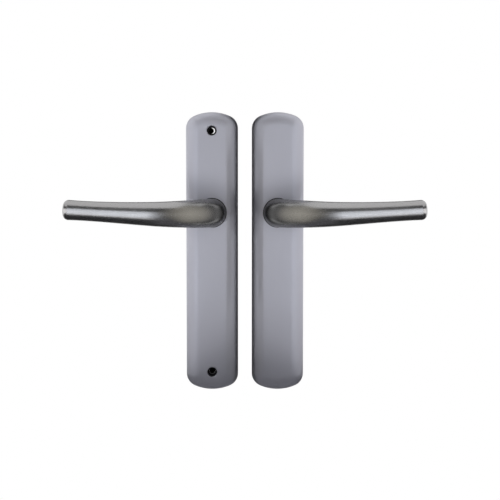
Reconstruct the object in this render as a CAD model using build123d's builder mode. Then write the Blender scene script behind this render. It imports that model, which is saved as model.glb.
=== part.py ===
from build123d import *
import os
from math import atan, degrees, pi, sqrt, tan

# Door lever set on backplates, in mm: an inside half with two screw holes and its mirror image,
# the outside half, side by side. Both lie against the plane Y = 0, the door's face, and look along -Y.
# The origin is where the inside half's spindle axis meets that plane. +Z is up.
# A depth below is a distance from the door's face towards the front.

# Backplates
plate_width = 46.1
plate_height = 248.0
plate_wall = 2.8
plate_edge_width = 7.2
plate_edge_drop = 4.2
plate_edge_share = 0.46
hollow_edge_radius = 6.2
plate_end_radius = 39.5
plate_corner_radius = 12.0
plate_gap = 12.4
spindle_below_top = 89.0

# Ribs cast inside the plates
rib_thickness = 2.0
rib_height = 3.6
lower_ribs = 4

# Fixing screws, which pass through the inside plate into posts on the outside plate
fixing_from_end = 16.5
fixing_boss_diameter = 14.0
screw_head_diameter = 8.5
screw_head_depth = 6.0
screw_hole_diameter = 5.5
screw_hole_chamfer = 0.5
post_diameter = 9.0
post_length = 22.0
post_spigot_diameter = 7.0
post_spigot_length = 5.0
post_thread_diameter = 4.2
post_thread_depth = 20.0
post_chamfer = 0.8

# Levers
neck_diameter = 25.0
neck_length = 3.0
neck_edge_radius = 0.6
bend_depth = 38.0
bend_reach = 54.0
bend_rise = 0.35
bend_slope = 0.035
lever_length = 125.0
grip_root_diameter = 20.9
grip_waist_diameter = 17.95
grip_tip_diameter = 17.5
grip_waist_share = 0.45
grip_rise = 3.95
grip_tip_slope = 0.058
tip_edge_radius = 4.6

# Bearing of each lever in its plate
journal_diameter = 18.0
journal_clearance = 0.05
bush_wall = 1.5
bush_flange_width = 2.65
bush_flange_thickness = 1.2
bush_flange_recess = 1.0
bush_edge_chamfer = 0.3
boss_wall = 3.0
boss_length = 1.8
end_float = 0.2

# Spring cover that closes the mechanism at the back
cover_recess = 0.2
cover_thickness = 1.0
cover_side_gap = 1.5
cover_hole_diameter = 14.0
cover_boss_gap = 2.0
cover_boss_diameter = 7.0
cover_screw_margin = 6.0
cover_screw_diameter = 3.0
cover_screw_head = 5.4
cover_screw_length = 5.0
screw_slot_width = 0.7
screw_slot_depth = 0.5

# Retaining ring, thrust washer and spring driver on the end of the journal
journal_end_gap = 0.4
ring_from_end = 0.3
ring_thickness = 1.0
ring_groove_depth = 0.5
ring_width = 1.9
ring_gap = 4.0
ring_ear_diameter = 3.4
ring_ear_hole = 1.3
stack_gap = 0.1
washer_thickness = 0.6
washer_width = 3.0
key_clearance = 0.05
driver_thickness = 1.5
driver_flat_depth = 1.5

# Return spring and the stops of the lever's travel
spring_wire = 1.4
spring_pitch = 1.7
spring_turns = 1.5
spring_boss_gap = 1.2
spring_leg_length = 3.0
spring_bend = 1.4
spring_leg_gap = 0.15
anchor_gap = 0.05
anchor_width = 2.6
anchor_height = 2.2
lever_travel = 40.0
stop_angle = 16.0
stop_slack = 1.0
stop_width = 2.2

# Square spindle, its socket and its fixings
spindle_size = 8.0
spindle_chamfer = 0.6
spindle_clearance = 0.1
socket_reach = 20.0
socket_end_gap = 1.0
door_thickness = 40.0
spindle_grip = 18.0
grub_diameter = 5.0
grub_from_shoulder = 6.6
grub_sink = 0.8
grub_key = 2.5
grub_key_depth = 2.5
pin_diameter = 3.0
pin_wall = 0.7
pin_slit = 0.5
pin_from_shoulder = 7.6
pin_past_spindle = 1.0

# Sizes that follow from those above
cover_front = cover_recess + cover_thickness
journal_back = cover_front + journal_end_gap
ring_back = journal_back + ring_from_end
washer_back = ring_back + ring_thickness + stack_gap
driver_back = washer_back + washer_thickness + stack_gap
driver_front = driver_back + driver_thickness
boss_back = driver_front + end_float
floor_depth = boss_back + boss_length
plate_depth = floor_depth + plate_wall
flange_top = plate_depth - bush_flange_recess + bush_flange_thickness
shoulder_depth = flange_top + end_float
half_pitch = plate_width + plate_gap
plate_top = spindle_below_top
plate_bottom = plate_top - plate_height
edge_slope = atan(plate_edge_drop / plate_edge_width)
edge_run = plate_edge_share * sqrt(plate_edge_width**2 + plate_edge_drop**2)
edge_face_radius = edge_run / tan(edge_slope / 2)
edge_side_radius = edge_run / tan((pi / 2 - edge_slope) / 2)
edge_depth = plate_depth - plate_edge_drop
end_sag = plate_end_radius - sqrt(plate_end_radius**2 - (plate_width / 2) ** 2)
upper_fixing = plate_top - fixing_from_end
lower_fixing = plate_bottom + fixing_from_end
journal_radius = journal_diameter / 2
driver_flats = journal_diameter - 2 * driver_flat_depth
bush_bore = journal_radius + journal_clearance
bush_radius = bush_bore + bush_wall
flange_radius = bush_radius + bush_flange_width
boss_radius = bush_radius + boss_wall
spring_radius = boss_radius + spring_boss_gap + spring_wire / 2
spring_outside = spring_radius + spring_wire / 2 + end_float
spring_front = floor_depth - spring_wire / 2 - end_float
spring_back = spring_front - spring_pitch * spring_turns
foot_angle = 90 - 360 * spring_turns
leg_inner = spring_radius - spring_leg_length
leg_outer = spring_radius + spring_leg_length
anchor_inner = spring_radius + spring_bend
driver_radius = boss_radius + spring_boss_gap / 2
washer_radius = journal_radius + washer_width
stop_inner = boss_radius - stop_width
ring_inner = journal_radius - ring_groove_depth
ear_radius = ring_inner + ring_ear_diameter / 2
ear_side = (ring_gap + ring_ear_diameter) / 2
cover_screw_place = leg_outer + cover_boss_gap + cover_boss_diameter / 2
cover_width = plate_width - 2 * plate_wall - 2 * cover_side_gap
cover_length = 2 * (cover_screw_place + cover_screw_margin)
sink_angle = 2 * degrees(atan((cover_screw_head - cover_screw_diameter) / 2 / cover_thickness))
socket_size = spindle_size + spindle_clearance
spindle_inner = plate_depth + socket_reach
socket_depth = spindle_inner + socket_end_gap
spindle_length = spindle_inner + door_thickness + plate_depth + spindle_grip
neck_radius = neck_diameter / 2
neck_end = shoulder_depth + neck_length
grip_depth = neck_end + bend_depth
half_turn = sqrt(0.5)
grub_depth = shoulder_depth + grub_from_shoulder
pin_depth = shoulder_depth + pin_from_shoulder
rib_zone_top = -cover_length / 2
rib_zone_bottom = lower_fixing + fixing_boss_diameter / 2
rib_zone_middle = (rib_zone_top + rib_zone_bottom) / 2
rib_pitch = (rib_zone_top - rib_zone_bottom) / (lower_ribs + 1)
upper_rib = (cover_length / 2 + upper_fixing - fixing_boss_diameter / 2) / 2
mid_plane = Plane.YZ.offset(half_pitch / 2)
outside_face = Plane(origin=(half_pitch, 0, 0), x_dir=(1, 0, 0), z_dir=(0, -1, 0))

os.makedirs("parts", exist_ok=True)

# The plate's outline: straight sides, shallow curved ends and rounded corners.
with BuildSketch(Plane.XZ) as plate_outline:
    with BuildLine():
        left_side = Line((-plate_width / 2, plate_bottom + end_sag), (-plate_width / 2, plate_top - end_sag))
        top_end = ThreePointArc(left_side @ 1, (0, plate_top), (plate_width / 2, plate_top - end_sag))
        right_side = Line(top_end @ 1, (plate_width / 2, plate_bottom + end_sag))
        ThreePointArc(right_side @ 1, (0, plate_bottom), left_side @ 0)
    make_face()
    fillet(plate_outline.vertices(), plate_corner_radius)

# The hollow behind the plate, less the bosses, lugs and ribs that are cast in it.
with BuildPart() as plate_hollow:
    with BuildSketch(Plane.XZ):
        offset(plate_outline.sketch_local, -plate_wall)
    extrude(amount=floor_depth)
    fillet(plate_hollow.faces().sort_by(Axis.Y)[0].edges(), hollow_edge_radius)
    with BuildSketch(Plane.XZ):
        Circle(spring_outside)
        with PolarLocations(leg_outer / 2, 1, start_angle=foot_angle):
            with Locations((0, -spring_bend)):
                Rectangle(leg_outer + 2 * end_float, spring_wire + 2 * end_float)
    extrude(amount=floor_depth)
    with BuildSketch(Plane.XZ.offset(floor_depth)):
        Circle(boss_radius)
    extrude(amount=-boss_length, mode=Mode.SUBTRACT)
    with BuildSketch(Plane.XZ.offset(floor_depth)):
        with Locations((0, upper_fixing), (0, lower_fixing)):
            Circle(fixing_boss_diameter / 2)
    extrude(amount=-floor_depth, mode=Mode.SUBTRACT)
    with BuildSketch(Plane.XZ.offset(floor_depth)):
        with GridLocations(0, 2 * cover_screw_place, 1, 2):
            Circle(cover_boss_diameter / 2)
    extrude(amount=cover_front - floor_depth, mode=Mode.SUBTRACT)
    with BuildSketch(Plane.XZ.offset(floor_depth)):
        with Locations((0, rib_zone_middle)):
            with GridLocations(0, rib_pitch, 1, lower_ribs):
                Rectangle(plate_width, rib_thickness)
            Rectangle(rib_thickness, rib_zone_top - rib_zone_bottom)
        with Locations((0, upper_rib)):
            Rectangle(plate_width, rib_thickness)
    extrude(amount=-rib_height, mode=Mode.SUBTRACT)
    # The anchor that the spring's fixed leg pushes against.
    with BuildSketch(Plane.XZ.offset(floor_depth)):
        with PolarLocations((anchor_inner + leg_outer) / 2, 1, start_angle=foot_angle):
            with Locations((0, (spring_wire + anchor_width) / 2 + anchor_gap - spring_bend)):
                Rectangle(leg_outer - anchor_inner, anchor_width)
    extrude(amount=-anchor_height, mode=Mode.SUBTRACT)

# The plate before its fixings: a rounded shell with the lever's bearing boss and the travel stop.
with BuildPart() as plate_blank:
    with BuildSketch(Plane.XZ):
        add(plate_outline.sketch_local)
    extrude(amount=plate_depth)
    # A bevel rounded on both its rims gives the edge its slow start and tight side.
    front_face = plate_blank.faces().sort_by(Axis.Y)[0]
    chamfer(front_face.edges(), plate_edge_width, plate_edge_drop, reference=front_face)
    fillet(plate_blank.edges().filter_by_position(Axis.Y, -edge_depth, -edge_depth), edge_side_radius)
    fillet(plate_blank.faces().sort_by(Axis.Y)[0].edges(), edge_face_radius)
    add(plate_hollow.part, mode=Mode.SUBTRACT)
    with BuildSketch(Plane.XZ.offset(boss_back)):
        with BuildLine():
            stop_rim = CenterArc((0, 0), boss_radius, 270 - stop_angle / 2, stop_angle)
            stop_root = CenterArc((0, 0), stop_inner, 270 - stop_angle / 2, stop_angle)
            Line(stop_rim @ 0, stop_root @ 0)
            Line(stop_rim @ 1, stop_root @ 1)
        make_face()
    extrude(amount=driver_back - boss_back)
    with Locations(Plane.XZ.offset(plate_depth)):
        CounterBoreHole(bush_radius, flange_radius, bush_flange_recess, plate_depth)
    with BuildSketch(Plane.XZ.offset(cover_front)):
        with GridLocations(0, 2 * cover_screw_place, 1, 2):
            Circle(cover_screw_diameter / 2)
    extrude(amount=cover_screw_length, mode=Mode.SUBTRACT)

# Inside plate: a deep seat for each screw head, then the screw's own hole through the boss.
with BuildPart() as inside_backplate:
    add(plate_blank.part)
    with Locations(Plane.XZ.offset(plate_depth)):
        with Locations((0, upper_fixing), (0, lower_fixing)):
            CounterBoreHole(screw_hole_diameter / 2, screw_head_diameter / 2, screw_head_depth, plate_depth)
    front_rims = inside_backplate.edges().group_by(Axis.Y)[0].filter_by(lambda edge: edge.is_closed)
    chamfer(front_rims.sort_by(SortBy.RADIUS)[:2], screw_hole_chamfer)
inside_backplate.part.label = "inside_backplate"
export_step(inside_backplate.part, "parts/inside_backplate.step")

# Outside plate: blind sockets in the same bosses for the fixing posts, and a plain front.
with BuildPart() as outside_backplate:
    mirror(plate_blank.part, about=mid_plane)
    with BuildSketch(outside_face):
        with Locations((0, upper_fixing), (0, lower_fixing)):
            Circle(post_spigot_diameter / 2)
    extrude(amount=post_spigot_length, mode=Mode.SUBTRACT)
outside_backplate.part.label = "outside_backplate"
export_step(outside_backplate.part, "parts/outside_backplate.step")

# Threaded fixing posts, which take the screws from the inside half through the door.
with BuildPart() as outside_fixing_posts:
    with BuildSketch(outside_face):
        with Locations((0, upper_fixing), (0, lower_fixing)):
            Circle(post_spigot_diameter / 2)
    extrude(amount=post_spigot_length)
    with BuildSketch(outside_face):
        with Locations((0, upper_fixing), (0, lower_fixing)):
            Circle(post_diameter / 2)
    extrude(amount=-post_length)
    chamfer(outside_fixing_posts.edges().group_by(Axis.Y)[-1], post_chamfer)
    with BuildSketch(outside_face.offset(-post_length)):
        with Locations((0, upper_fixing), (0, lower_fixing)):
            Circle(post_thread_diameter / 2)
    extrude(amount=post_thread_depth, mode=Mode.SUBTRACT)
outside_fixing_posts.part.label = "outside_fixing_posts"
export_step(outside_fixing_posts.part, "parts/outside_fixing_posts.step")

# Flanged plastic bush, turned, pressed into the boss from the front.
with BuildPart() as inside_bearing_bush:
    with BuildSketch(Plane.XY) as bush_profile:
        with BuildLine():
            Polyline(
                (bush_bore, -boss_back),
                (bush_radius, -boss_back),
                (bush_radius, -plate_depth + bush_flange_recess),
                (flange_radius, -plate_depth + bush_flange_recess),
                (flange_radius, -flange_top),
                (bush_bore, -flange_top),
                close=True,
            )
        make_face()
        chamfer(bush_profile.vertices().group_by(Axis.Y)[0], bush_edge_chamfer)
    revolve(axis=Axis.Y)
inside_bearing_bush.part.label = "inside_bearing_bush"
export_step(inside_bearing_bush.part, "parts/inside_bearing_bush.step")

with BuildPart() as outside_bearing_bush:
    mirror(inside_bearing_bush.part, about=mid_plane)
outside_bearing_bush.part.label = "outside_bearing_bush"
export_step(outside_bearing_bush.part, "parts/outside_bearing_bush.step")

# The lever before its fixing: a round bar that bends off the neck in a long curve and tapers along the grip.
with BuildPart() as lever_blank:
    with BuildLine() as lever_spine:
        neck = Line((0, -shoulder_depth, 0), (0, -neck_end, 0))
        bend_middle = (-bend_reach * (1 - half_turn), -neck_end - bend_depth * half_turn, 0)
        bend_end = (-bend_reach, -grip_depth, bend_rise)
        bend_way = (-1, 0, bend_slope)
        bend = Spline(neck @ 1, bend_middle, bend_end, tangents=[neck % 1, bend_way])
        grip_tip = (-lever_length, -grip_depth, grip_rise)
        grip = Spline(bend_end, grip_tip, tangents=[bend_way, (-1, 0, grip_tip_slope)])
    with BuildSketch(Plane(origin=neck @ 0, z_dir=neck % 0)):
        Circle(neck_radius)
    with BuildSketch(Plane(origin=bend @ 0, z_dir=bend % 0)):
        Circle(neck_radius)
    with BuildSketch(Plane(origin=bend @ 1, z_dir=bend % 1)):
        Circle(grip_root_diameter / 2)
    with BuildSketch(Plane(origin=grip @ grip_waist_share, z_dir=grip % grip_waist_share)):
        Circle(grip_waist_diameter / 2)
    with BuildSketch(Plane(origin=grip @ 1, z_dir=grip % 1)):
        Circle(grip_tip_diameter / 2)
    sweep(path=lever_spine.line, multisection=True)
    fillet(lever_blank.faces().sort_by(Axis.X)[0].edges(), tip_edge_radius)
    fillet(lever_blank.faces().sort_by(Axis.Y)[-1].edges(), neck_edge_radius)
    # The journal with its driving flats, ring groove and square socket.
    with BuildSketch(Plane.XZ.offset(journal_back)):
        Circle(journal_radius)
    extrude(amount=shoulder_depth - journal_back)
    with BuildSketch(Plane.XZ.offset(journal_back)):
        Circle(journal_diameter)
        Rectangle(driver_flats, 2 * journal_diameter, mode=Mode.SUBTRACT)
    extrude(amount=boss_back - journal_back, mode=Mode.SUBTRACT)
    with BuildSketch(Plane.XZ.offset(ring_back)):
        Circle(journal_diameter)
        Circle(ring_inner, mode=Mode.SUBTRACT)
    extrude(amount=ring_thickness, mode=Mode.SUBTRACT)
    with BuildSketch(Plane.XZ.offset(journal_back)):
        Rectangle(socket_size, socket_size)
    extrude(amount=socket_depth - journal_back, mode=Mode.SUBTRACT)

# Inside lever: a threaded hole under the neck for the grub screw that grips the spindle.
with BuildPart() as inside_lever:
    add(lever_blank.part)
    with BuildSketch(Plane.XY):
        with Locations((0, -grub_depth)):
            Circle(grub_diameter / 2)
    extrude(amount=-neck_diameter, mode=Mode.SUBTRACT)
inside_lever.part.label = "inside_lever"
export_step(inside_lever.part, "parts/inside_lever.step")

# Outside lever: a blind hole from below for the pin that keeps the spindle in it.
with BuildPart() as outside_lever:
    mirror(lever_blank.part, about=mid_plane)
    with BuildSketch(Plane.XY.offset(spindle_size / 2 + pin_past_spindle)):
        with Locations((half_pitch, -pin_depth)):
            Circle(pin_diameter / 2)
    extrude(amount=-neck_diameter, mode=Mode.SUBTRACT)
outside_lever.part.label = "outside_lever"
export_step(outside_lever.part, "parts/outside_lever.step")

# Grub screw with a hexagon socket, sunk a little below the neck's surface.
with BuildPart() as inside_grub_screw:
    with BuildSketch(Plane.XY.offset(-neck_radius + grub_sink)):
        with Locations((0, -grub_depth)):
            Circle(grub_diameter / 2)
    extrude(amount=neck_radius - grub_sink - socket_size / 2)
    with BuildSketch(Plane.XY.offset(-neck_radius + grub_sink)):
        with Locations((0, -grub_depth)):
            RegularPolygon(grub_key / 2, 6, major_radius=False)
    extrude(amount=grub_key_depth, mode=Mode.SUBTRACT)
inside_grub_screw.part.label = "inside_grub_screw"
export_step(inside_grub_screw.part, "parts/inside_grub_screw.step")

# Square steel spindle, fixed in the outside lever, which passes through the door to the inside lever.
with BuildPart() as outside_spindle:
    with BuildSketch(outside_face.offset(spindle_inner)):
        Rectangle(spindle_size, spindle_size)
    extrude(amount=-spindle_length)
    chamfer(outside_spindle.edges().group_by(Axis.Y)[-1], spindle_chamfer)
    with BuildSketch(Plane.XY):
        with Locations((half_pitch, -pin_depth)):
            Circle(pin_diameter / 2)
    extrude(amount=spindle_size, both=True, mode=Mode.SUBTRACT)
outside_spindle.part.label = "outside_spindle"
export_step(outside_spindle.part, "parts/outside_spindle.step")

# Slotted spring pin through the lever's neck and the spindle.
with BuildPart() as outside_spindle_pin:
    with BuildSketch(Plane.XY.offset(-neck_radius + grub_sink)):
        with Locations((half_pitch, -pin_depth)):
            Circle(pin_diameter / 2)
            Circle(pin_diameter / 2 - pin_wall, mode=Mode.SUBTRACT)
            Rectangle(pin_diameter, pin_slit, align=(Align.MIN, Align.CENTER), mode=Mode.SUBTRACT)
    extrude(amount=neck_radius - grub_sink + spindle_size / 2 + pin_past_spindle)
outside_spindle_pin.part.label = "outside_spindle_pin"
export_step(outside_spindle_pin.part, "parts/outside_spindle_pin.step")

# Spring driver: a keyed disc with a slot for the spring's leg and a notch for the travel stop.
with BuildPart() as inside_spring_driver:
    with BuildSketch(Plane.XZ.offset(driver_back)):
        Circle(driver_radius)
        with BuildLine():
            notch_start = 270 - lever_travel - stop_angle / 2 - stop_slack
            notch_sweep = lever_travel + stop_angle + 2 * stop_slack
            notch_rim = CenterArc((0, 0), driver_radius + end_float, notch_start, notch_sweep)
            notch_root = CenterArc((0, 0), stop_inner - end_float, notch_start, notch_sweep)
            Line(notch_rim @ 0, notch_root @ 0)
            Line(notch_rim @ 1, notch_root @ 1)
        make_face(mode=Mode.SUBTRACT)
        with Locations((-spring_bend, leg_inner - spring_leg_gap)):
            slot_width = spring_wire + 2 * spring_leg_gap
            Rectangle(slot_width, boss_radius, align=(Align.CENTER, Align.MIN), mode=Mode.SUBTRACT)
        with BuildSketch(mode=Mode.PRIVATE) as key_hole:
            Circle(journal_radius + key_clearance)
            Rectangle(driver_flats + 2 * key_clearance, 2 * journal_diameter, mode=Mode.INTERSECT)
        add(key_hole.sketch, mode=Mode.SUBTRACT)
    extrude(amount=driver_thickness)
inside_spring_driver.part.label = "inside_spring_driver"
export_step(inside_spring_driver.part, "parts/inside_spring_driver.step")

with BuildPart() as outside_spring_driver:
    mirror(inside_spring_driver.part, about=mid_plane)
outside_spring_driver.part.label = "outside_spring_driver"
export_step(outside_spring_driver.part, "parts/outside_spring_driver.step")

# Return spring: square wire wound round the boss, with a leg bent in to the driver at the back
# and a foot bent out to the anchor at the front.
coil_height = spring_pitch * spring_turns
coil = Helix(spring_pitch, coil_height, spring_radius, direction=(0, -1, 0), lefthand=True)
coil_path = Pos(0, -spring_back, 0) * Rot(0, 180, 0) * coil
coil_leg = coil_path @ 0
coil_foot = coil_path @ 1
inward = Vector(0, 0, -1)
outward = Vector(coil_foot.X, 0, coil_foot.Z).normalized()
with BuildPart() as inside_return_spring:
    with BuildSketch(Plane(origin=coil_leg, x_dir=(0, 1, 0), z_dir=coil_path % 0)):
        Rectangle(spring_wire, spring_wire)
    sweep(path=coil_path, is_frenet=True)
    for end, heading, side in ((coil_leg, -(coil_path % 0), inward), (coil_foot, coil_path % 1, outward)):
        with BuildSketch(Plane(origin=end, x_dir=side, z_dir=heading)):
            Rectangle(spring_wire, spring_wire)
        revolve(axis=Axis(end + side * spring_bend, heading.cross(side)), revolution_arc=90)
        with BuildSketch(Plane(origin=end + (side + heading) * spring_bend, x_dir=-heading, z_dir=side)):
            Rectangle(spring_wire, spring_wire)
        extrude(amount=spring_leg_length - spring_bend)
inside_return_spring.part.label = "inside_return_spring"
export_step(inside_return_spring.part, "parts/inside_return_spring.step")

with BuildPart() as outside_return_spring:
    mirror(inside_return_spring.part, about=mid_plane)
outside_return_spring.part.label = "outside_return_spring"
export_step(outside_return_spring.part, "parts/outside_return_spring.step")

# Thrust washer between the driver and the retaining ring.
with BuildPart() as inside_thrust_washer:
    with BuildSketch(Plane.XZ.offset(washer_back)):
        Circle(washer_radius)
        Circle(journal_radius + stack_gap, mode=Mode.SUBTRACT)
    extrude(amount=washer_thickness)
inside_thrust_washer.part.label = "inside_thrust_washer"
export_step(inside_thrust_washer.part, "parts/inside_thrust_washer.step")

with BuildPart() as outside_thrust_washer:
    mirror(inside_thrust_washer.part, about=mid_plane)
outside_thrust_washer.part.label = "outside_thrust_washer"
export_step(outside_thrust_washer.part, "parts/outside_thrust_washer.step")

# Open retaining ring in the journal's groove, with two ears for pliers.
with BuildPart() as inside_retaining_ring:
    with BuildSketch(Plane.XZ.offset(ring_back)):
        Circle(ring_inner + ring_width)
        Rectangle(ring_gap, 2 * journal_diameter, align=(Align.CENTER, Align.MIN), mode=Mode.SUBTRACT)
        ear_height = sqrt(ear_radius**2 - ear_side**2)
        with Locations((-ear_side, ear_height), (ear_side, ear_height)):
            Circle(ring_ear_diameter / 2)
            Circle(ring_ear_hole / 2, mode=Mode.SUBTRACT)
        Circle(ring_inner, mode=Mode.SUBTRACT)
    extrude(amount=ring_thickness)
inside_retaining_ring.part.label = "inside_retaining_ring"
export_step(inside_retaining_ring.part, "parts/inside_retaining_ring.step")

with BuildPart() as outside_retaining_ring:
    mirror(inside_retaining_ring.part, about=mid_plane)
outside_retaining_ring.part.label = "outside_retaining_ring"
export_step(outside_retaining_ring.part, "parts/outside_retaining_ring.step")

# Sheet-steel cover over the mechanism, screwed to two bosses of the plate.
back_of_cover = Plane(origin=(0, -cover_recess, 0), x_dir=(1, 0, 0), z_dir=(0, 1, 0))
with BuildPart() as inside_spring_cover:
    with BuildSketch(back_of_cover):
        SlotOverall(cover_length, cover_width, rotation=90)
        Circle(cover_hole_diameter / 2, mode=Mode.SUBTRACT)
    extrude(amount=-cover_thickness)
    with Locations(back_of_cover):
        with GridLocations(0, 2 * cover_screw_place, 1, 2):
            CounterSinkHole(
                cover_screw_diameter / 2,
                cover_screw_head / 2,
                cover_thickness,
                counter_sink_angle=sink_angle,
            )
inside_spring_cover.part.label = "inside_spring_cover"
export_step(inside_spring_cover.part, "parts/inside_spring_cover.step")

with BuildPart() as outside_spring_cover:
    mirror(inside_spring_cover.part, about=mid_plane)
outside_spring_cover.part.label = "outside_spring_cover"
export_step(outside_spring_cover.part, "parts/outside_spring_cover.step")

# Countersunk screws of the cover, turned, with a plain slot in each head.
with BuildPart() as inside_cover_screws:
    with BuildSketch(Plane.XY.offset(cover_screw_place)):
        with BuildLine():
            Polyline(
                (0, -cover_recess),
                (cover_screw_head / 2, -cover_recess),
                (cover_screw_diameter / 2, -cover_front),
                (cover_screw_diameter / 2, -cover_front - cover_screw_length),
                (0, -cover_front - cover_screw_length),
                close=True,
            )
        make_face()
    revolve(axis=Axis((0, 0, cover_screw_place), (0, 1, 0)))
    with BuildSketch(back_of_cover):
        with Locations((0, -cover_screw_place)):
            Rectangle(cover_screw_head, screw_slot_width)
    extrude(amount=-screw_slot_depth, mode=Mode.SUBTRACT)
    mirror(about=Plane.XY)
inside_cover_screws.part.label = "inside_cover_screws"
export_step(inside_cover_screws.part, "parts/inside_cover_screws.step")

with BuildPart() as outside_cover_screws:
    mirror(inside_cover_screws.part, about=mid_plane)
outside_cover_screws.part.label = "outside_cover_screws"
export_step(outside_cover_screws.part, "parts/outside_cover_screws.step")
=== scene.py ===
# %% [markdown]
# # Door lever set on backplate
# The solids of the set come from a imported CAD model, and every one of them keeps its place.
# This lesson dresses them: a camera like the photograph's, one finish for each real material,
# and a small studio of light boxes and cards, because satin metal shows mostly what stands round it.

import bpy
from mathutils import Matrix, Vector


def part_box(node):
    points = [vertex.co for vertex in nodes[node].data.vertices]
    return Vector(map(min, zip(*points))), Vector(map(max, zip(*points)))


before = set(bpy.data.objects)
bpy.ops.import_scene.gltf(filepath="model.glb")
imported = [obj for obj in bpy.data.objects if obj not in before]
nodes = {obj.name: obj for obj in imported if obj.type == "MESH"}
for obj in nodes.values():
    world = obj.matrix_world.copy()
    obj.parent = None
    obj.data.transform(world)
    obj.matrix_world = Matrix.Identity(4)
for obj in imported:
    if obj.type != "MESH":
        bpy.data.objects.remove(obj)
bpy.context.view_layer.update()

# %% [markdown]
# Sizes on a drawing are in millimetres and Blender's are in metres, so MM turns the one into the
# other. The view transform is Standard, so that a colour from a chart comes out as the same colour
# in the picture.

# %% Blender's modules
import math

import bmesh
import bpy
from mathutils import Matrix, Vector

MM = 0.001
scene = bpy.context.scene
scene.view_settings.view_transform = "Standard"
print("Blender", bpy.app.version_string, "with the", scene.view_settings.view_transform, "view")

# %% [markdown]
# The set is photographed from straight in front, nearly level, with a long lens.
# A camera could be turned by hand until it fits. Here its distance, height and lens are worked out
# from the plates' edges and the levers' tips, so the values are plain numbers in one place.
# The two halves are mirror images, so the camera stands in the plane between them.

# %% Camera
left_low, left_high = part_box("inside_backplate")
_, right_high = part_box("outside_backplate")
middle_x = (left_low.x + right_high.x) / 2
plate_middle_z = (left_low.z + left_high.z) / 2
PLATE_FRONT_Y = -10 * MM
SENSOR_WIDTH = 36
IMAGE_PIXELS = 500
CAMERA_DISTANCE = 0.9916
CAMERA_RISE = math.radians(3.875)
FOCAL_PIXELS = 1116.65
SET_LEFT_PIXELS = 5.1
SET_LOW_PIXELS = 2.2

aim = Vector((middle_x, PLATE_FRONT_Y, plate_middle_z))
back = Vector((0, -math.cos(CAMERA_RISE), math.sin(CAMERA_RISE)))
lens = bpy.data.cameras.new("camera")
lens.sensor_width = SENSOR_WIDTH
lens.lens = SENSOR_WIDTH * FOCAL_PIXELS / IMAGE_PIXELS
lens.shift_x = SET_LEFT_PIXELS / IMAGE_PIXELS
lens.shift_y = SET_LOW_PIXELS / IMAGE_PIXELS
camera = bpy.data.objects.new("camera", lens)
camera.location = aim + back * CAMERA_DISTANCE
camera.rotation_euler = back.to_track_quat("Z", "Y").to_euler()
scene.collection.objects.link(camera)
scene.camera = camera
print("camera at", [round(v, 3) for v in camera.location], "lens", round(lens.lens, 1), "mm")

# %% [markdown]
# Colours are written as sRGB hex values, as on a colour chart, but shaders work in linear light, so one
# function turns the one into the other. Another adds a node with its settings and links. One starts an
# empty material, and the last puts a finished material on the CAD pieces that are made of it.

# %% Colours, nodes and materials
def linear(colour):
    parts = [int(colour[i:i + 2], 16) / 255 for i in (1, 3, 5)]
    return [p / 12.92 if p <= 0.04045 else ((p + 0.055) / 1.055) ** 2.4 for p in parts] + [1]


def add(tree, kind, inputs=None, **settings):
    node = tree.nodes.new(kind)
    for name, value in settings.items():
        setattr(node, name, value)
    for socket, value in (inputs or {}).items():
        if isinstance(value, bpy.types.NodeSocket):
            tree.links.new(value, node.inputs[socket])
        else:
            node.inputs[socket].default_value = value
    return node


def start(name):
    material = bpy.data.materials.new(name)
    material.use_nodes = True
    tree = material.node_tree
    tree.nodes.clear()
    return material, tree


def dress(material, *names):
    for name in names:
        slots = nodes[name].data.materials
        slots.clear()
        slots.append(material)
    print(material.name, "on", ", ".join(names))


print("the chart's grey #808080 is", round(linear("#808080")[0], 3), "in linear light")

# %% [markdown]
# The inside plate has two empty screw holes. They are deep and narrow, so the finish is painted dark
# inside them as painted shade. Their places could be typed in, but the outside half's fixing posts stand
# at the same heights, so the box round the posts gives them. The inside half's axis is at x = 0.

# %% Where the screw holes are
BORE_RADIUS = 4.27 * MM     # just inside the chamfered rim, which keeps the light finish
BORE_EDGE = 0.06 * MM
# painted shade: the colour inside each screw bore
BORE_SHADE_COLOUR = "#2c2c2e"
post_low, post_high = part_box("outside_fixing_posts")
post_radius = (post_high.x - post_low.x) / 2
screw_holes = [(0, post_high.z - post_radius), (0, post_low.z + post_radius)]
print("screw holes at", [[round(v, 4) for v in hole] for hole in screw_holes])

# %% [markdown]
# The plates and levers are aluminium, etched matt and then anodised in a steel grey.
# Anodising is an oxide skin over metal, so it could be a coat over a metal base. The skin is thin and
# even, so one shader does it, and its metallic value says how much of the look is metal.
# What the eye gets is soft reflections, a faint lengthwise grain and slow changes of tone. A stretched
# noise drives the gloss and a low bump, and a slow noise drives the colour.
# Each lever's colour is painted darker towards the plate, behind the bend: painted shade at the neck.

# %% Satin grey anodised aluminium
GRAIN_WIDTH = 0.7 * MM      # real grain is about 0.1 mm: drawn coarse enough to show
GRAIN_LENGTH = 18 * MM
GRAIN_DEPTH = 0.02 * MM
GRAIN_LOW, GRAIN_HIGH = 0.3, 0.7    # most of the noise lies between these
GLOSS_SPREAD = 0.02
CLOUD_SIZE = 45 * MM
# painted shade on each lever's neck: the colour darkens along Y towards the plate
NECK_UNSHADED, NECK_SHADED = -46 * MM, -14 * MM     # along Y, from the bend to the plate
NECK_SHADE_COLOUR = "#6a696a"


# Paints shade into the colour inside each screw bore.
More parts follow.
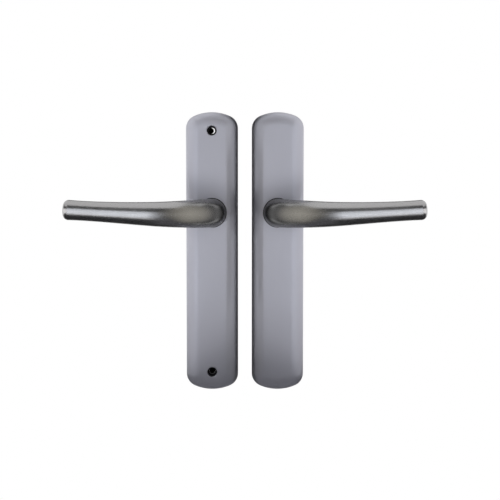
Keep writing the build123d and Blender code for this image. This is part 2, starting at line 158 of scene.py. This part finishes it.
def paint_bore_shade(tree, place, colour, x, z):
    flat = add(tree, "ShaderNodeVectorMath", {0: place, 1: (1, 0, 1)}, operation="MULTIPLY")
    away = add(tree, "ShaderNodeVectorMath", {0: flat.outputs[0], 1: (x, 0, z)}, operation="DISTANCE")
    bore_shade_edge = add(tree, "ShaderNodeMapRange", {"Value": away.outputs["Value"], "From Min": BORE_RADIUS,
                                            "From Max": BORE_RADIUS + BORE_EDGE})
    return add(tree, "ShaderNodeMix", {"Factor": bore_shade_edge.outputs["Result"], "A": linear(BORE_SHADE_COLOUR),
                                       "B": colour}, data_type="RGBA").outputs["Result"]


# Paints shade into a lever's colour towards the plate.
def paint_neck_shade(tree, place, colour):
    depth = add(tree, "ShaderNodeSeparateXYZ", {"Vector": place}).outputs["Y"]
    behind = add(tree, "ShaderNodeMapRange", {"Value": depth, "From Min": NECK_UNSHADED,
                                              "From Max": NECK_SHADED}, interpolation_type="SMOOTHSTEP")
    return add(tree, "ShaderNodeMix", {"Factor": behind.outputs["Result"], "A": colour,
                                       "B": linear(NECK_SHADE_COLOUR)}, data_type="RGBA").outputs["Result"]


def anodised(name, light, dark, metal, roughness, relief, along, holes=(), neck=False):
    material, tree = start(name)
    place = add(tree, "ShaderNodeTexCoord").outputs["Object"]
    sizes = [1 / GRAIN_WIDTH] * 3
    sizes[along] = 1 / GRAIN_LENGTH
    grain_place = add(tree, "ShaderNodeMapping", {"Vector": place, "Scale": sizes})
    grain = add(tree, "ShaderNodeTexNoise",
                {"Vector": grain_place.outputs[0], "Scale": 1, "Detail": 2})
    cloud = add(tree, "ShaderNodeTexNoise",
                {"Vector": place, "Scale": 1 / CLOUD_SIZE, "Detail": 1})
    tone = add(tree, "ShaderNodeMix", {"Factor": cloud.outputs["Fac"],
                                       "A": linear(dark), "B": linear(light)}, data_type="RGBA")
    colour = tone.outputs["Result"]
    # painted shade inside the screw bores
    for x, z in holes:
        colour = paint_bore_shade(tree, place, colour, x, z)
    # painted shade at the neck
    if neck:
        colour = paint_neck_shade(tree, place, colour)
    matt = add(tree, "ShaderNodeMapRange",
               {"Value": grain.outputs["Fac"], "From Min": GRAIN_LOW, "From Max": GRAIN_HIGH,
                "To Min": roughness - GLOSS_SPREAD, "To Max": roughness + GLOSS_SPREAD})
    bump = add(tree, "ShaderNodeBump", {"Height": grain.outputs["Fac"], "Strength": relief,
                                        "Distance": GRAIN_DEPTH})
    shader = add(tree, "ShaderNodeBsdfPrincipled",
                 {"Base Color": colour, "Metallic": metal,
                  "Roughness": matt.outputs["Result"], "Normal": bump.outputs["Normal"]})
    add(tree, "ShaderNodeOutputMaterial", {"Surface": shader.outputs["BSDF"]})
    return material


print("grain", GRAIN_WIDTH / MM, "by", GRAIN_LENGTH / MM, "mm")

# %% [markdown]
# The etched plates are part metal and part matt oxide, which is why they also take a soft shadow from
# the levers. The levers are rubbed finer, so they are all metal and glossier. One function makes both
# finishes, and the grain runs up the plates and along the levers.

# %% Plates and levers
ALONG_X, ALONG_Z = 0, 2
# holes=screw_holes paints shade inside the two screw bores
plate_finish = anodised("satin_anodised_aluminium_plate", "#c1c1cb", "#bcbcc6", metal=0.75,
                        roughness=0.47, relief=0.06, along=ALONG_Z, holes=screw_holes)
# neck=True paints shade on each lever towards the plate
lever_finish = anodised("satin_anodised_aluminium_lever", "#aaa9aa", "#a5a4a4", metal=1.0,
                        roughness=0.28, relief=0.015, along=ALONG_X, neck=True)
dress(plate_finish, "inside_backplate", "outside_backplate")
dress(lever_finish, "inside_lever", "outside_lever")

# %% [markdown]
# The thin dark line round each lever's neck is the flange of its bearing bush, moulded in black acetal.
# Acetal is a waxy plastic with a moulded skin. Its colour is even, and what changes is the gloss,
# so noise drives the roughness and a very low bump.

# %% Black acetal
MOULD_TEXTURE = 0.8 * MM    # real mould skin is about 0.2 mm: drawn coarse enough to show
MOULD_DEPTH = 0.03 * MM
ACETAL_IOR = 1.48
acetal, tree = start("black_moulded_acetal")
place = add(tree, "ShaderNodeTexCoord").outputs["Object"]
skin = add(tree, "ShaderNodeTexNoise", {"Vector": place, "Scale": 1 / MOULD_TEXTURE, "Detail": 2})
gloss = add(tree, "ShaderNodeMapRange", {"Value": skin.outputs["Fac"], "To Min": 0.38, "To Max": 0.52})
bump = add(tree, "ShaderNodeBump", {"Height": skin.outputs["Fac"], "Strength": 0.1,
                                    "Distance": MOULD_DEPTH})
shader = add(tree, "ShaderNodeBsdfPrincipled",
             {"Base Color": linear("#1b1b1c"), "Roughness": gloss.outputs["Result"],
              "IOR": ACETAL_IOR, "Normal": bump.outputs["Normal"]})
add(tree, "ShaderNodeOutputMaterial", {"Surface": shader.outputs["BSDF"]})
dress(acetal, "inside_bearing_bush", "outside_bearing_bush")

# %% [markdown]
# The pressed and turned steel pieces behind the plates are zinc plated.
# The plating is passivated blue, which shows as a pale metal with cold and warm clouds in it,
# so a slow noise mixes two tones, and a finer one breaks up the gloss.

# %% Zinc-plated steel
CLOUD = 6 * MM
SPANGLE = 0.9 * MM
zinc, tree = start("zinc_plated_steel")
place = add(tree, "ShaderNodeTexCoord").outputs["Object"]
cloud = add(tree, "ShaderNodeTexNoise", {"Vector": place, "Scale": 1 / CLOUD, "Detail": 3})
tone = add(tree, "ShaderNodeMix", {"Factor": cloud.outputs["Fac"], "A": linear("#b9c3cf"),
                                   "B": linear("#cfcbc0")}, data_type="RGBA")
spangle = add(tree, "ShaderNodeTexNoise", {"Vector": place, "Scale": 1 / SPANGLE, "Detail": 2})
gloss = add(tree, "ShaderNodeMapRange", {"Value": spangle.outputs["Fac"], "To Min": 0.22,
                                         "To Max": 0.42})
shader = add(tree, "ShaderNodeBsdfPrincipled",
             {"Base Color": tone.outputs["Result"], "Metallic": 1.0,
              "Roughness": gloss.outputs["Result"]})
add(tree, "ShaderNodeOutputMaterial", {"Surface": shader.outputs["BSDF"]})
dress(zinc, *[side + part for side in ("inside_", "outside_")
              for part in ("spring_driver", "thrust_washer", "spring_cover", "cover_screws")],
      "outside_fixing_posts")

# %% [markdown]
# The springs, the retaining rings and the slotted pin are hardened and oil-tempered spring steel.
# Tempering leaves a dark oxide with brown and blue tints, darker where the oil stayed longer,
# so the colour is mixed from two dark tones and the surface stays fairly glossy.

# %% Oil-tempered spring steel
TINT = 4 * MM
temper, tree = start("oil_tempered_spring_steel")
place = add(tree, "ShaderNodeTexCoord").outputs["Object"]
tint = add(tree, "ShaderNodeTexNoise", {"Vector": place, "Scale": 1 / TINT, "Detail": 3})
tone = add(tree, "ShaderNodeMix", {"Factor": tint.outputs["Fac"], "A": linear("#4a4d55"),
                                   "B": linear("#6a625a")}, data_type="RGBA")
gloss = add(tree, "ShaderNodeMapRange", {"Value": tint.outputs["Fac"], "To Min": 0.24,
                                         "To Max": 0.4})
shader = add(tree, "ShaderNodeBsdfPrincipled",
             {"Base Color": tone.outputs["Result"], "Metallic": 1.0,
              "Roughness": gloss.outputs["Result"]})
add(tree, "ShaderNodeOutputMaterial", {"Surface": shader.outputs["BSDF"]})
dress(temper, "inside_return_spring", "outside_return_spring", "inside_retaining_ring",
      "outside_retaining_ring", "outside_spindle_pin")

# %% [markdown]
# The square spindle is cold-drawn bright steel, and the grub screw is the same metal, cut.
# Drawing through a die leaves fine lines along the bar, so a noise is stretched along Y.

# %% Bright drawn steel
LINE_WIDTH = 0.5 * MM
LINE_LENGTH = 40 * MM
LINE_DEPTH = 0.02 * MM
drawn, tree = start("bright_drawn_steel")
place = add(tree, "ShaderNodeTexCoord").outputs["Object"]
along_bar = add(tree, "ShaderNodeMapping",
                {"Vector": place, "Scale": (1 / LINE_WIDTH, 1 / LINE_LENGTH, 1 / LINE_WIDTH)})
lines = add(tree, "ShaderNodeTexNoise", {"Vector": along_bar.outputs[0], "Scale": 1, "Detail": 2})
tone = add(tree, "ShaderNodeMix", {"Factor": lines.outputs["Fac"], "A": linear("#a9aaab"),
                                   "B": linear("#c4c4c3")}, data_type="RGBA")
gloss = add(tree, "ShaderNodeMapRange", {"Value": lines.outputs["Fac"], "To Min": 0.2,
                                         "To Max": 0.36})
bump = add(tree, "ShaderNodeBump", {"Height": lines.outputs["Fac"], "Strength": 0.15,
                                    "Distance": LINE_DEPTH})
shader = add(tree, "ShaderNodeBsdfPrincipled",
             {"Base Color": tone.outputs["Result"], "Metallic": 1.0,
              "Roughness": gloss.outputs["Result"], "Normal": bump.outputs["Normal"]})
add(tree, "ShaderNodeOutputMaterial", {"Surface": shader.outputs["BSDF"]})
dress(drawn, "outside_spindle", "inside_grub_screw")

# %% [markdown]
# The photograph has a plain white background. It could be a lit backdrop, but that would also light
# the set. The world is white only for the camera and for what mirrors it, and dim for matt surfaces.

# %% World
WORLD_FILL = 0.08
world = bpy.data.worlds.new("white_studio")
scene.world = world
world.use_nodes = True
tree = world.node_tree
tree.nodes.clear()
path = add(tree, "ShaderNodeLightPath")
sees = add(tree, "ShaderNodeMath", {0: path.outputs["Is Camera Ray"],
                                    1: path.outputs["Is Glossy Ray"]}, operation="MAXIMUM")
sees = add(tree, "ShaderNodeMath", {0: sees.outputs[0],
                                    1: path.outputs["Is Transmission Ray"]}, operation="MAXIMUM")
level = add(tree, "ShaderNodeMapRange", {"Value": sees.outputs[0], "To Min": WORLD_FILL, "To Max": 1.0})
sky = add(tree, "ShaderNodeBackground", {"Color": linear("#ffffff"),
                                         "Strength": level.outputs["Result"]})
add(tree, "ShaderNodeOutputWorld", {"Surface": sky.outputs["Background"]})
print("world white for the camera, fill", WORLD_FILL)

# %% [markdown]
# A soft lamp overhead lights the floor, and two low ones left and right of the camera light what is
# matt: the plastic bushes, and the matt share of the plates, where each lever throws a soft shadow.
# The lamps are hidden from reflections, because those get a studio of their own in the next steps.

# %% Lamps
def lamp(name, place, size, level):
    data = bpy.data.lights.new(name, "AREA")
    data.shape = "SQUARE"
    data.size = size
    data.energy = level * math.pi * size ** 2
    made = bpy.data.objects.new(name, data)
    made.location = place
    made.rotation_euler = (Vector(place) - aim).to_track_quat("Z", "Y").to_euler()
    made.visible_camera = False
    made.visible_glossy = False
    scene.collection.objects.link(made)
    print(name, "at", [round(v, 2) for v in place], round(data.energy, 2), "W")


TOP_Y, TOP_Z = 0.1, 1.1
TOP_SIZE, TOP_LEVEL = 1.0, 1.2
LOW_ASIDE, LOW_Y, LOW_Z = 0.5, -0.75, -0.29
LOW_SIZE, LOW_LEVEL = 0.22, 44
lamp("top_lamp", (middle_x, TOP_Y, TOP_Z), TOP_SIZE, TOP_LEVEL)
lamp("left_lamp", (middle_x - LOW_ASIDE, LOW_Y, LOW_Z), LOW_SIZE, LOW_LEVEL)
lamp("right_lamp", (middle_x + LOW_ASIDE, LOW_Y, LOW_Z), LOW_SIZE, LOW_LEVEL)

# %% [markdown]
# Satin metal has little colour of its own: it shows the studio. A photographer therefore stands
# pale and dark cards round it. A card here is one face that glows with a plain colour.
# Only reflections see it: neither the camera nor the floor does, and it lights nothing that is matt.

# %% A card and its paint
def span(half, one_edge, other_edge):
    left, right = middle_x - half, middle_x + half
    return [(left, *one_edge), (right, *one_edge), (right, *other_edge), (left, *other_edge)]


def staged(name, bm, material, only_mirrored=True):
    mesh = bpy.data.meshes.new(name)
    bm.to_mesh(mesh)
    bm.free()
    mesh.materials.append(material)
    made = bpy.data.objects.new(name, mesh)
    if only_mirrored:
        made.visible_camera = False
        made.visible_diffuse = False
        made.visible_transmission = False
        made.visible_shadow = False
    scene.collection.objects.link(made)
    print(name, "in", material.name)
    return made


def card(name, corners, material):
    bm = bmesh.new()
    bm.faces.new([bm.verts.new(corner) for corner in corners])
    return staged(name, bm, material)


def glowing(name, colour):
    material, tree = start(name)
    material.cycles.emission_sampling = "NONE"
    shader = add(tree, "ShaderNodeEmission", {"Color": linear(colour), "Strength": 1.0})
    add(tree, "ShaderNodeOutputMaterial", {"Surface": shader.outputs["Emission"]})
    return material


print("cards are centred on x =", round(middle_x, 5), "m, between the halves")

# %% [markdown]
# The dark lines along the levers and the plates' edges are dark cards: a curtain high in front,
# a shelf under the plates, a sloping sill before their lower ends, which also keeps the low lamps
# off them, and a short card high behind the set for the line along the levers' upper edge.

# %% Dark cards
curtain_grey = glowing("curtain_grey", "#424242")
shelf_grey = glowing("shelf_grey", "#404042")
sill_grey = glowing("sill_grey", "#66666a")
back_grey = glowing("back_grey", "#707070")
CURTAIN_HALF, CURTAIN_Y = 0.6, -1.2
CURTAIN_LOW, CURTAIN_HIGH = 0.44, 1.85
SHELF_HALF, SHELF_REACH = 0.45, 0.2
SHELF_Z = left_low.z - 6 * MM
SILL_HALF, SILL_REACH = 0.09, 0.22
SILL_LOW, SILL_HIGH = SHELF_Z + 1 * MM, SHELF_Z + 38 * MM
BACK_HALF, BACK_Y = 0.3, 0.4
BACK_LOW, BACK_HIGH = 0.16, 0.42
card("curtain", span(CURTAIN_HALF, (CURTAIN_Y, CURTAIN_LOW), (CURTAIN_Y, CURTAIN_HIGH)), curtain_grey)
card("under_card", span(SHELF_HALF, (-SHELF_REACH, SHELF_Z), (SHELF_REACH, SHELF_Z)), shelf_grey)
sill = card("sill_card", span(SILL_HALF, (-SILL_REACH, SILL_HIGH), (0, SILL_LOW)), sill_grey)
sill.visible_shadow = True
card("back_card", span(BACK_HALF, (BACK_Y, BACK_LOW), (BACK_Y, BACK_HIGH)), back_grey)

# %% [markdown]
# A real soft box is brighter in its middle than at its edges. One colour would make hard-edged
# reflections, so a graded card runs its tone along an axis in a colour ramp whose stops are written
# in metres. Two ramps multiply where the tone changes both ways.

# %% Graded paint
def graded(name, strength, runs):
    material, tree = start(name)
    material.cycles.emission_sampling = "NONE"
    place = add(tree, "ShaderNodeTexCoord").outputs["Object"]
    along = add(tree, "ShaderNodeSeparateXYZ", {"Vector": place})
    tones = []
    for axis, tints in runs.items():
        first, last = tints[0][0], tints[-1][0]
        share = add(tree, "ShaderNodeMapRange", {"Value": along.outputs[axis], "From Min": first,
                                                 "From Max": last})
        ramp = add(tree, "ShaderNodeValToRGB", {"Fac": share.outputs["Result"]})
        stops = ramp.color_ramp.elements
        stops[0].color, stops[1].color = linear(tints[0][1]), linear(tints[-1][1])
        for where, tint in tints[1:-1]:
            stops.new((where - first) / (last - first)).color = linear(tint)
        tones.append(ramp.outputs["Color"])
    tone = tones[0]
    if len(tones) > 1:
        tone = add(tree, "ShaderNodeMix", {"Factor": 1.0, "A": tones[0], "B": tones[1]},
                   data_type="RGBA", blend_type="MULTIPLY").outputs["Result"]
    shader = add(tree, "ShaderNodeEmission", {"Color": tone, "Strength": strength})
    add(tree, "ShaderNodeOutputMaterial", {"Surface": shader.outputs["Emission"]})
    return material


def both_sides(tints):
    left = [(middle_x - away, tint) for away, tint in tints]
    return left + [(middle_x + away, tint) for away, tint in reversed(tints)]


print("a stop 0.1 m to each side is at", [round(x, 4) for x, _ in both_sides(((0.1, "#ffffff"),))])

# %% [markdown]
# Behind the camera stand two soft boxes, left and right, on one wide card. They draw the bright band
# along each lever and most of the plates' tone. A second card lies in front, just above the floor, and
# carries the same light on below them, for the underside of the levers.

# %% Bright cards
SOFT_BOX = 3.4
FRONT_HALF = 0.9
FRONT_Y = -1.05
FRONT_LOW, FRONT_HIGH = -0.8, 0.41
LOW_CARD_Z, LOW_CARD_END = -0.41, -0.58
front_light = graded("front_soft_boxes", SOFT_BOX, {
    "X": both_sides(((0.9, "#75777a"), (0.42, "#75777a"), (0.33, "#f5f9ff"), (0.25, "#d6dae0"),
                     (0.18, "#a2a5aa"), (0.12, "#818387"), (0.06, "#747679"), (0, "#6c6e70"))),
    "Z": ((FRONT_LOW, "#ffffff"), (-0.2, "#ffffff"), (0, "#f4f4f4"), (FRONT_HIGH, "#dcdcdc"))})
card("front_card", span(FRONT_HALF, (FRONT_Y, FRONT_LOW), (FRONT_Y, FRONT_HIGH)), front_light)
low_light = graded("low_soft_boxes", SOFT_BOX, {
    "X": both_sides(((0.9, "#797b7d"), (0.42, "#797b7d"), (0.33, "#f5f9ff"), (0.25, "#bcbfc4"),
                     (0.165, "#727477"), (0.09, "#505254")))})
card("low_front_card", span(FRONT_HALF, (FRONT_Y, LOW_CARD_Z), (LOW_CARD_END, LOW_CARD_Z)), low_light)

# %% [markdown]
# The halves stand close together, but in the photograph neither shows in the other. Upright cards in
# the plane between them do that. Next to the plates their paint falls off to black, which gives the dark
# inner edge, and next to the levers it is pale and a little warm, which gives the light end of each bend.
# Beside the necks and below the bends it is dark grey, because the photograph is dark there.

# %% Paint for the cards between the halves
DOOR_Y, NECK_Y, NEAR_Y, STEP_Y, FAR_Y = 0.03, -0.024, -0.034, -0.048, -0.95
plate_side = graded("plate_side_grey", 1.0, {
    "Y": ((DOOR_Y, "#040404"), (-0.005, "#0c0c0c"), (-0.0085, "#626363"), (-0.0125, "#a3a4a4"),
          (-0.018, "#c7c8c8"), (-0.027, "#dbdcdc"), (STEP_Y, "#e4e5e5")),
    "Z": ((-0.17, "#787878"), (-0.14, "#a8a8a8"), (-0.11, "#d8d8d8"), (-0.07, "#ffffff"),
          (-0.022, "#ffffff"), (-0.012, "#949494"), (0.012, "#949494"), (0.022, "#ffffff"))})
lever_side = graded("lever_side_grey", 1.0, {
    "Y": ((NEAR_Y, "#666666"), (-0.044, "#8c8b8a"), (-0.05, "#a09e9a"), (-0.06, "#bcb9b1"),
          (-0.09, "#dbd7cc"), (-0.117, "#d3cfc4"), (-0.153, "#c4c0b6"), (-0.22, "#a29f97"),
          (-0.5, "#838280")),
    "Z": ((-0.16, "#8c8c8c"), (-0.11, "#bcbcbc"), (-0.06, "#e0e0e0"), (-0.02, "#f6f6f6"),
          (0, "#ffffff"), (0.028, "#f4f4f4"), (0.056, "#e7e7e7"), (0.16, "#d9d9d9"))})
bend_side = graded("bend_side_grey", 1.0, {"Y": ((NEAR_Y, "#606060"), (STEP_Y, "#404040"))})
neck_side = graded("neck_side_grey", 1.0, {
    "Z": ((-0.07, "#303030"), (-0.028, "#303030"), (-0.014, "#8a8a8a"), (0.014, "#8a8a8a"),
          (0.028, "#585858"), (0.06, "#585858"))})
print("paint changes at", NECK_Y, NEAR_Y, "and", STEP_Y, "m in front of the door")

# %% [markdown]
# Each card is a rectangle in the same plane, so a function needs only its two ends and its two heights.
# The long one in front rises towards the camera. Like the sill, these cards also hold back the low
# lamps, so that the lamp on one side doesn't light the inner edge on the other.

# %% Cards between the halves
def upright(name, near, far, low, high, material, far_high=None):
    far_top = high if far_high is None else far_high
    made = card(name, [(middle_x, near, low), (middle_x, far, low),
                       (middle_x, far, far_top), (middle_x, near, high)], material)
    made.visible_shadow = True


NECK_LOW, NECK_HIGH = -0.08, 0.06
LEVER_LOW, LEVER_HIGH = -0.065, 0.055
CARD_LOW, CARD_HIGH = -0.4, 0.2
FRONT_CARD_LOW, FRONT_CARD_HIGH, FAR_HIGH = -0.3, 0.14, 0.4
upright("plate_side_card", DOOR_Y, NECK_Y, CARD_LOW, CARD_HIGH, plate_side)
upright("plate_side_card_above", NECK_Y, NEAR_Y, NECK_HIGH, CARD_HIGH, plate_side)
upright("plate_side_card_below", NECK_Y, NEAR_Y, CARD_LOW, NECK_LOW, plate_side)
upright("neck_side_card", NECK_Y, NEAR_Y, NECK_LOW, NECK_HIGH, neck_side)
upright("plate_side_card_top", NEAR_Y, STEP_Y, LEVER_HIGH, CARD_HIGH, plate_side)
upright("plate_side_card_low", NEAR_Y, STEP_Y, CARD_LOW, LEVER_LOW, bend_side)
upright("lever_side_card_near", NEAR_Y, STEP_Y, LEVER_LOW, LEVER_HIGH, lever_side)
upright("lever_side_card", STEP_Y, FAR_Y, FRONT_CARD_LOW, FRONT_CARD_HIGH, lever_side, FAR_HIGH)

# %% [markdown]
# The bright band and the dark line run on to the very tip of each lever. The rounded edge of the tip
# mirrors what stands beside it, so an arc of paper stands there, with the same dark and bright stripes
# as the studio in front. It is an upright edge, spun about an upright axis through the tip.

# %% An arc of paper beside each tip
TIP_Y, TIP_Z = -0.05, 0.003
ARC_RADIUS, ARC_HALF = 0.06, 0.05
ARC_FROM, ARC_TO = math.radians(14), math.radians(100)
ARC_STEPS = 24
ARC_LIGHT = 1.7
arc_stripes = graded("arc_stripes", ARC_LIGHT, {
    "Z": ((TIP_Z - ARC_HALF, "#202020"), (TIP_Z - 0.036, "#202020"), (TIP_Z - 0.026, "#ffffff"),
          (TIP_Z + 0.013, "#ffffff"), (TIP_Z + 0.019, "#202020"), (TIP_Z + 0.042, "#202020"),
          (TIP_Z + ARC_HALF, "#b0b0b0"))})
for half, outward in (("inside", -1), ("outside", 1)):
    lever_low, lever_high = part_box(half + "_lever")
    tip = (lever_low.x if outward < 0 else lever_high.x, TIP_Y, TIP_Z)
    bm = bmesh.new()
    low_end = bm.verts.new((tip[0], TIP_Y - ARC_RADIUS, TIP_Z - ARC_HALF))
    high_end = bm.verts.new((tip[0], TIP_Y - ARC_RADIUS, TIP_Z + ARC_HALF))
    rise = bm.edges.new((low_end, high_end))
    bmesh.ops.rotate(bm, verts=bm.verts, cent=tip, matrix=Matrix.Rotation(outward * ARC_FROM, 3, "Z"))
    bmesh.ops.spin(bm, geom=[low_end, high_end, rise], cent=tip, axis=(0, 0, outward),
                   angle=ARC_TO - ARC_FROM, steps=ARC_STEPS)
    staged(half + "_tip_arc", bm, arc_stripes)

# %% [markdown]
# In the photograph the empty screw holes are black, though the background behind the set is white.
# On a door the holes end in the dark, so a small round of black paper closes each one at the back as
# painted shade.
# The upper one has slipped aside a little, so a light crescent is left, as in the photograph.
# The camera sees these two, and they belong to the studio, not to the set.

# %% Black paper behind the screw holes, as painted shade
PAPER_RADIUS = 2.7 * MM
PAPER_Y = -0.6 * MM
PAPER_CORNERS = 24
UPPER_SLIP = 1 * MM
# painted shade: dark matt discs behind the screw holes
hole_shade_paper, tree = start("hole_shade_paper")
matt = add(tree, "ShaderNodeBsdfDiffuse", {"Color": linear("#161616")})
add(tree, "ShaderNodeOutputMaterial", {"Surface": matt.outputs["BSDF"]})
hole_shades = (("upper_hole_shade", UPPER_SLIP), ("lower_hole_shade", 0))
for (x, z), (name, slip) in zip(screw_holes, hole_shades):
    bm = bmesh.new()
    bmesh.ops.create_circle(bm, cap_ends=True, segments=PAPER_CORNERS, radius=PAPER_RADIUS)
    bmesh.ops.rotate(bm, verts=bm.verts, matrix=Matrix.Rotation(math.pi / 2, 3, "X"))
    bmesh.ops.translate(bm, verts=bm.verts, vec=(x - slip, PAPER_Y, z))
    staged(name, bm, hole_shade_paper).visible_camera = True

# %% [markdown]
# A pale floor lies well below the set, so its shadow falls out of the photograph's frame.
# Far off it is as white as the world, so that no horizon shows. Near the set a part of it is matt,
# so that it keeps the shadow.

# %% Floor
FLOOR_Z = -0.42
FLOOR_HALF = 3.0
SHADOW_REACH = 0.22
WHITE_FROM = 0.5
NEAR_WHITE = 0.7
floor_white, tree = start("pale_studio_floor")
matt = add(tree, "ShaderNodeBsdfDiffuse", {"Color": linear("#f4f4f4")})
lit = add(tree, "ShaderNodeEmission", {"Color": linear("#ffffff"), "Strength": 1.0})
path = add(tree, "ShaderNodeLightPath")
mirrored = add(tree, "ShaderNodeMath", {0: path.outputs["Is Glossy Ray"],
                                        1: path.outputs["Is Transmission Ray"]}, operation="MAXIMUM")
place = add(tree, "ShaderNodeTexCoord").outputs["Object"]
away = add(tree, "ShaderNodeVectorMath", {0: place, 1: (middle_x, 0, FLOOR_Z)}, operation="DISTANCE")
fade = add(tree, "ShaderNodeMapRange", {"Value": away.outputs["Value"], "From Min": SHADOW_REACH,
                                        "From Max": WHITE_FROM}, interpolation_type="SMOOTHSTEP")
pale = add(tree, "ShaderNodeMapRange", {"Value": fade.outputs["Result"], "To Min": NEAR_WHITE,
                                        "To Max": 1.0})
seen = add(tree, "ShaderNodeMath", {0: path.outputs["Is Camera Ray"], 1: pale.outputs["Result"]},
           operation="MULTIPLY")
share = add(tree, "ShaderNodeMath", {0: mirrored.outputs[0], 1: fade.outputs["Result"],
                                     2: seen.outputs[0]}, operation="MULTIPLY_ADD")
mix = add(tree, "ShaderNodeMixShader", {0: share.outputs[0], 1: matt.outputs[0], 2: lit.outputs[0]})
add(tree, "ShaderNodeOutputMaterial", {"Surface": mix.outputs[0]})
bm = bmesh.new()
bmesh.ops.create_grid(bm, x_segments=1, y_segments=1, size=FLOOR_HALF)
bmesh.ops.translate(bm, verts=bm.verts, vec=(0, 0, FLOOR_Z))
staged("floor", bm, floor_white, only_mirrored=False)
print("floor at", FLOOR_Z, "m, shadow kept to", SHADOW_REACH, "m from the set")
